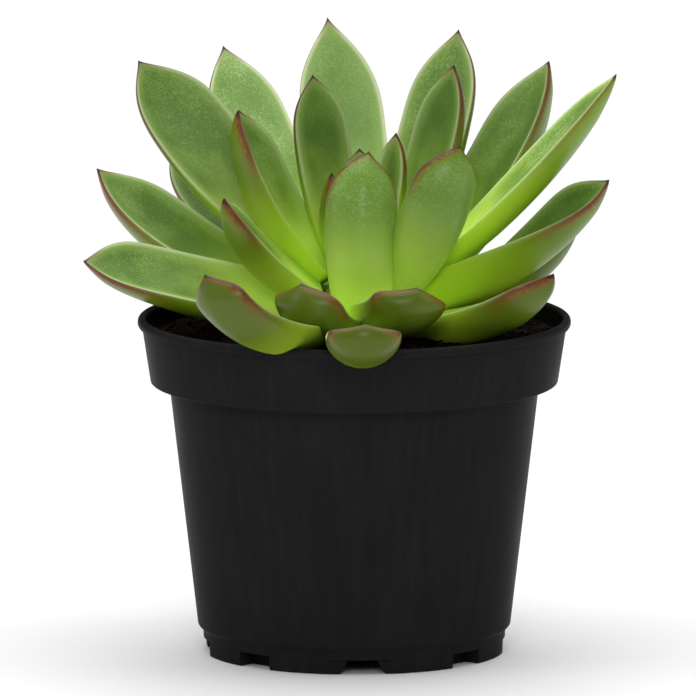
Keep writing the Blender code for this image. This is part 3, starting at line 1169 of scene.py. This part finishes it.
# short names for the table below
P, I, H, F, B = Skin.PALE, Skin.INNER, Skin.HEART, Skin.FRONT, Skin.BUD
LEAVES = (
    Leaf("leaf_left_low", (-75, -9, 17), 21, 1.6, bow=1.5, roll=-30, thick=7, cup=0.36, base=1.0,
         end=4.6, blush=1.1),
    Leaf("leaf_left_mid", (-71.5, 25, 37.7), 22, 3.8, bow=12, roll=-18, thick=7, cup=0.36, end=3.4,
         tone=1.15, blush=1.1),
    Leaf("leaf_left_high", (-60, 28, 67.5), 26.5, 9.3, bow=7, roll=-28, thick=6, end=3.9, base=0.42,
         waist=1.8, cup=0.32, tone=0.85),
    Leaf("leaf_left_behind", (-51, 52, 39.6), 20, 2.2, bow=9, roll=-10, thick=5),
    Leaf("leaf_back_left", (-36.5, 50, 68.3), 23.5, 6.6, bow=12, sway=-1, roll=-8, thick=5.5,
         skin=P, tone=1.2, bloom=1.9),
    Leaf("leaf_back_mid", (-7.5, 72, 73), 23.5, 4.5, bow=13, sway=-4.5, end=3.1, base=0.5, skin=P),
    Leaf("leaf_back_right", (29, 48, 73.2), 22, 6.5, bow=10, roll=-4, thick=7, base=0.4, bloom=1.2),
    Leaf("leaf_right_behind", (54, 34, 66.5), 25, 3.4, bow=11, roll=-2, cup=0.36, thick=7.5,
         base=0.4, blush=0.5),
    Leaf("leaf_right_high", (72.5, 0, 68), 21, 8, bow=5.5, roll=6, thick=5.5, base=0.42, waist=1.8,
         tone=1.4, bloom=1.8, blush=0.2),
    Leaf("leaf_right_mid", (70.5, -4, 39), 23, 3.5, bow=7.5, roll=-38, twist=66, cup=0.36,
         thick=6.5, base=0.6, waist=1.2),
    Leaf("leaf_right_under", (62, 8, 24), 17, -0.4, bow=9, tone=0.8, blush=0.4),
    Leaf("leaf_right_low", (55, -34, 17.5), 20.5, -0.4, bow=8.5, turn=0.6, roll=2, thick=7, end=4,
         skin=F),
    Leaf("leaf_front_right", (17, -46, 15.5), 22, 1.6, thick=5.5, end=5, roll=-8, skin=F,
         blush=0.75, keel=0.15, path=((7, -28, 6.5), (16, -47.5, 4.2))),
    Leaf("leaf_front_low", (3, -84.5, 11.5), 20.5, -0.6, thick=5.5, cup=0.24, end=8, skin=F,
         blush=0.6, keel=0.05, path=((1, -45, 3.0), (3, -87.5, -0.6))),
    Leaf("leaf_front_left", (-14.5, -45, 16.5), 22.5, 1.2, thick=6, end=5, roll=-12, skin=F,
         blush=0.75, keel=0.15, path=((-6, -28, 5.0), (-14, -47, 2.6))),
    Leaf("leaf_left_front", (-41, -76, 24), 19, -0.6, 18.5, 0.9, sway=13, droop=2, thick=6,
         base=0.7, end=6, skin=F, tone=0.85),
    Leaf("inner_leaf_left_low", (-36, -18, 36), 16, 7, bow=5, roll=-20, thick=6.5, base=0.8, skin=I,
         blush=0.8),
    Leaf("inner_leaf_left", (-32, 6, 57), 19, 11, bow=8, roll=-10, thick=6.5, cup=0.48, skin=I),
    Leaf("inner_leaf_back_left", (-11.5, 18, 65), 18, 12.2, bow=5, thick=4.5, skin=I, tone=0.8,
         bloom=0.6),
    Leaf("inner_leaf_back_right", (27.5, 20, 67.5), 19, 9.5, bow=6, skin=I, thick=6,
         tone=0.85, bloom=0.6),
    Leaf("inner_leaf_front", (4, -14, 48.5), 20, -0.6, bow=6, sway=-5, thick=6, base=0.8,
         skin=H),
    Leaf("inner_leaf_right", (29, -18, 51), 20, 6.5, bow=6, sway=-4, roll=-32, thick=6,
         skin=H, tone=0.9),
    Leaf("bud_leaf_right", (11.5, 10, 50), 10, 12.5, bow=2, thick=4, skin=B),
    Leaf("bud_leaf_left", (-6, 2, 40), 8, 13, bow=2, thick=3, skin=B),
    Leaf("bud_leaf_mid", (1.5, 1, 47), 11, 13.3, bow=1.5, thick=4, skin=B),
    Leaf("low_leaf_1", (-54, 32, 12), 15, -0.6, bow=3),
    Leaf("low_leaf_2", (-40, 58, 12), 16, -0.6, bow=4),
    Leaf("low_leaf_3", (-2, 85, 13), 16, -0.6, bow=5),
    Leaf("low_leaf_4", (31, 76, 12), 15, -0.6, bow=4),
    Leaf("low_leaf_5", (54, 38, 11), 15, -0.6, bow=3),
    Leaf("rear_leaf_1", (-22, 74, 34), 15, 1.6, bow=7, thick=4),
    Leaf("rear_leaf_2", (15, 78, 36), 15, 1.8, bow=7, thick=4),
    Leaf("rear_leaf_3", (43, 59, 33), 14, 1.7, bow=6, thick=3.8),
)


def unit(rows: np.ndarray) -> np.ndarray:
    """Returns the rows scaled to length one."""
    return rows / np.linalg.norm(rows, axis=-1, keepdims=True)


@dataclass
class Rosette:
    """All the leaves, each a copy of one blank laid along its own line, and the stem."""

    rim_height: float = 0.0936
    plant_level: float = 0.0936
    stem_x: float = 0.0015
    stem_radius: float = 0.0120
    stem_half: float = 0.0160
    stem_sink: float = 0.0020
    leaf_gap: float = 0.0010
    widest: float = 0.62
    thickest: float = 0.40
    foot_thickness: float = 0.50
    cusp: float = 1.35
    margin: float = 0.0011
    crown: float = 0.10
    hang_at: float = 0.857
    segments: int = 48
    rings: int = 72

    def blank(self) -> bpy.types.Object:
        """Makes the leaf blank: a ball whose poles are the foot and the tip."""
        count = {"segments": self.segments, "ring_count": self.rings}
        return add(bpy.ops.mesh.primitive_uv_sphere_add, radius=1.0, **count)

    def width_share(self, t: np.ndarray, leaf: Leaf) -> np.ndarray:
        """Eases the half width along the leaf: narrow foot, wide past the middle, a cusp.

        Args:
            t: shares of the leaf's length.
            leaf: the leaf.

        Returns:
            The half width as a share of its most.
        """
        swell = np.sin(pi / 2 * np.clip(t / self.widest, 0, 1)) ** leaf.waist
        u = np.clip((t - self.widest) / (1 - self.widest), 0, 1)
        inner, outer = leaf.base + (1 - leaf.base) * swell, (1 - u**leaf.end) ** self.cusp
        return np.where(t < self.widest, inner, outer)

    def thick_share(self, t: np.ndarray) -> np.ndarray:
        """Eases the thickness along the leaf.

        Args:
            t: shares of the leaf's length.

        Returns:
            The thickness as a share of its most.
        """
        rise = np.sin(pi / 2 * np.clip(t / self.thickest, 0, 1))
        u = np.clip((t - self.thickest) / (1 - self.thickest), 0, 1)
        foot = self.foot_thickness
        return np.where(t < self.thickest, foot + (1 - foot) * rise, (1 - u**2.2) ** 0.75)

    def line(self, leaf: Leaf, t: np.ndarray) -> tuple:
        """Draws a leaf's middle line.

        Args:
            leaf: the leaf.
            t: shares of its length.

        Returns:
            The points, and the leaf's sideways direction.
        """
        axis = np.array([self.stem_x, 0.0, self.plant_level])
        tip = np.array([leaf.tip[0] * MM, leaf.tip[1] * MM, self.rim_height + leaf.tip[2] * MM])
        out = unit((tip - axis) * [1, 1, 0])
        height = leaf.foot * MM
        share = min(1.0, abs(height + self.stem_sink) / self.stem_half)
        radius = self.stem_radius * (1 - share * share) ** 0.5
        foot = axis + out * (radius + self.leaf_gap) + np.array([0, 0, height])
        side = unit(np.cross([0, 0, 1.0], out))
        t = np.asarray(t, float)[:, None]
        if leaf.path:
            lift = np.array([0, 0, self.rim_height])
            first, second = (np.array(point) * MM + lift for point in leaf.path)
            points = (1 - t) ** 3 * foot + 3 * t * (1 - t) ** 2 * first
            return points + 3 * t**2 * (1 - t) * second + t**3 * tip, side
        chord = tip - foot
        down = unit(np.cross(side, chord))
        down = -down if down[2] > 0 else down
        bend = foot + leaf.turn * chord + leaf.bow * MM * down + leaf.sway * MM * side
        points = (1 - t) ** 2 * foot + 2 * t * (1 - t) * bend + t**2 * tip
        hang = leaf.droop * MM * (t / self.hang_at) ** 6 * (1 - t) / (1 - self.hang_at)
        return points - np.array([0, 0, 1.0]) * hang, side

    def lay(self, leaf: Leaf, blank: bpy.types.Object) -> bpy.types.Object:
        """Copies the blank and lays it along a leaf's line.

        Args:
            leaf: the leaf to make.
            blank: the leaf blank.

        Returns:
            The leaf, with its marks.
        """
        mesh = blank.data.copy()
        count = len(mesh.vertices)
        ball = np.empty(count * 3)
        mesh.vertices.foreach_get("co", ball)
        ball = ball.reshape(-1, 3)
        share = np.arccos(np.clip(ball[:, 2], -1, 1)) / pi
        t = 1 - (1 - share) ** 1.5
        angle = np.arctan2(ball[:, 1], ball[:, 0])
        wide, high = np.cos(angle), np.sin(angle)
        poles = (share < 1e-6) | (share > 1 - 1e-6)
        line, side = self.line(leaf, t)
        ahead, behind = self.line(leaf, t + 1e-4)[0], self.line(leaf, t - 1e-4)[0]
        tangent = unit(ahead - behind)
        across = unit(side - (tangent @ side)[:, None] * tangent)
        normal = np.cross(tangent, across)
        turn = np.radians(leaf.roll + leaf.twist * t)[:, None]
        across, normal = (
            np.cos(turn) * across + np.sin(turn) * normal,
            np.cos(turn) * normal - np.sin(turn) * across,
        )
        half = leaf.width * MM / 2 * self.width_share(t, leaf)
        thick = np.minimum(leaf.thick * MM * self.thick_share(t), 2 * half)
        keel = np.clip((t - 0.35) / 0.65, 0, 1) * leaf.keel
        dish = leaf.cup * half * wide**2
        lip = np.minimum(self.margin, 0.35 * thick) / 2
        belly = (1 - keel) * np.clip(-high, 0, 1) ** 0.85
        belly += keel * np.where(high < 0, 1 - np.abs(wide), 0)
        rise = dish + lip * (np.sign(high) * np.abs(high) ** 0.5 - 1)
        rise += thick * (self.crown * np.clip(high, 0, 1) - belly)
        rise[poles], half_wide = 0.0, half * wide
        half_wide[poles] = 0.0
        points = line + across * half_wide[:, None] + normal * rise[:, None]
        mesh.vertices.foreach_set("co", points.ravel())
        stops = self.line(leaf, np.linspace(0, 1, 60))[0]
        length = np.linalg.norm(np.diff(stops, axis=0), axis=1).sum()
        marks = {
            "along": t,
            "upper": np.where(poles, 0.0, high),
            "inset": np.where(poles, 0.0, half * (1 - np.abs(wide))) / MM,
            "reach": (1 - t) * length / MM,
        }
        marks |= {key: np.full(count, getattr(leaf, key)) for key in ("tone", "bloom", "blush")}
        for name, values in marks.items():
            mark = mesh.attributes.new(name, "FLOAT", "POINT")
            mark.data.foreach_set("value", values.astype(np.float32))
        mesh.update()
        made = bpy.data.objects.new(leaf.name + "_skin", mesh)
        bpy.context.scene.collection.objects.link(made)
        return settle(made, leaf.name + "_skin", 75)

    def build(self, effects: Effects) -> None:
        """Makes and dresses every leaf, and dresses the stem in place.

        Args:
            effects: the shared node groups.
        """
        skins = {skin: skin.value.material(effects) for skin in Skin}
        blank = self.blank()
        for leaf in LEAVES:
            piece = self.lay(leaf, blank)
            piece.data.materials.append(skins[leaf.skin])
            mount(piece, leaf.skin.value.slot, leaf.name)
        bpy.data.objects.remove(blank)
        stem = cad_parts["stem"]
        stem.data.materials.clear()
        stem.data.materials.append(STEM_SKIN.material(effects))
        LOG.info("stem: dressed in place")


# ---- studio ----------------------------------------------------------------------------
@dataclass
class Studio:
    """The pale floor, the soft lights and the camera."""

    aim: tuple = (-0.00174, 0.0, 0.0847)
    distance: float = 8.0
    elevation: float = 9.2
    lens: float = 1494.0
    surround: float = 0.22
    overhead: float = 2.7
    overhead_spread: float = 80.0
    floor_radius: float = 8.0

    def floor(self, effects: Effects) -> None:
        """Lays the pale floor.

        Args:
            effects: the shared node groups.
        """
        disc = {"vertices": 96, "radius": self.floor_radius, "fill_type": "NGON"}
        sheet = settle(add(bpy.ops.mesh.primitive_circle_add, **disc), "studio_floor")
        sheet.data.materials.append(STUDIO_PAPER.material(effects))

    def lamp(self, name: str, place: tuple, size: float, power: float) -> None:
        """Hangs one soft square light that faces the plant.

        Args:
            name: the light's name.
            place: where it hangs.
            size: its side.
            power: its power in watts.
        """
        light = add(bpy.ops.object.light_add, type="AREA", location=place)
        light.name, light.data.size, light.data.energy = name, size, power
        way = Vector(self.aim) - Vector(place)
        light.rotation_euler = way.to_track_quat("-Z", "Y").to_euler()

    def sky(self) -> None:
        """Hangs one wide overhead light that is even over the whole floor."""
        pose = {"location": (0, 0, 3), "rotation": (radians(-14), 0, 0)}
        light = add(bpy.ops.object.light_add, type="SUN", **pose)
        light.name, light.data.energy = "top_light", self.overhead
        light.data.angle = radians(self.overhead_spread)

    def build(self, effects: Effects) -> None:
        """Sets up the floor, lights, surroundings and camera.

        Args:
            effects: the shared node groups.
        """
        self.floor(effects)
        self.sky()
        for name, place, size, power in (
            ("front_light", (0.0, -1.8, 0.9), 0.55, 9.0),
            ("left_light", (-1.5, -0.4, 0.9), 0.9, 5.0),
            ("right_light", (1.5, -0.2, 0.9), 0.9, 4.0),
        ):
            self.lamp(name, place, size, power)
        world = bpy.data.worlds.new("studio")
        bpy.context.scene.world = world
        world.use_nodes = True
        back = world.node_tree.nodes["Background"]
        back.inputs["Color"].default_value = (1.0, 1.0, 1.0, 1.0)
        back.inputs["Strength"].default_value = self.surround
        bpy.context.scene.view_settings.view_transform = "Standard"
        tilt = radians(self.elevation)
        place = Vector(self.aim) + Vector((0, -cos(tilt), sin(tilt))) * self.distance
        pose = {"location": place, "rotation": (pi / 2 - tilt, 0, 0)}
        camera = add(bpy.ops.object.camera_add, **pose)
        camera.data.lens, camera.data.sensor_width = self.lens, 36.0
        bpy.context.scene.camera = camera


def main() -> None:
    """Builds the pot, the peat, the plant and the studio in order."""
    logging.basicConfig(level=logging.INFO, format="%(name)s: %(message)s")
    effects = Effects()
    pot = NurseryPot()
    pot.build(effects)
    PeatFill(pot).build(effects)
    Rosette().build(effects)
    Studio().build(effects)


if __name__ == "__main__":
    main()
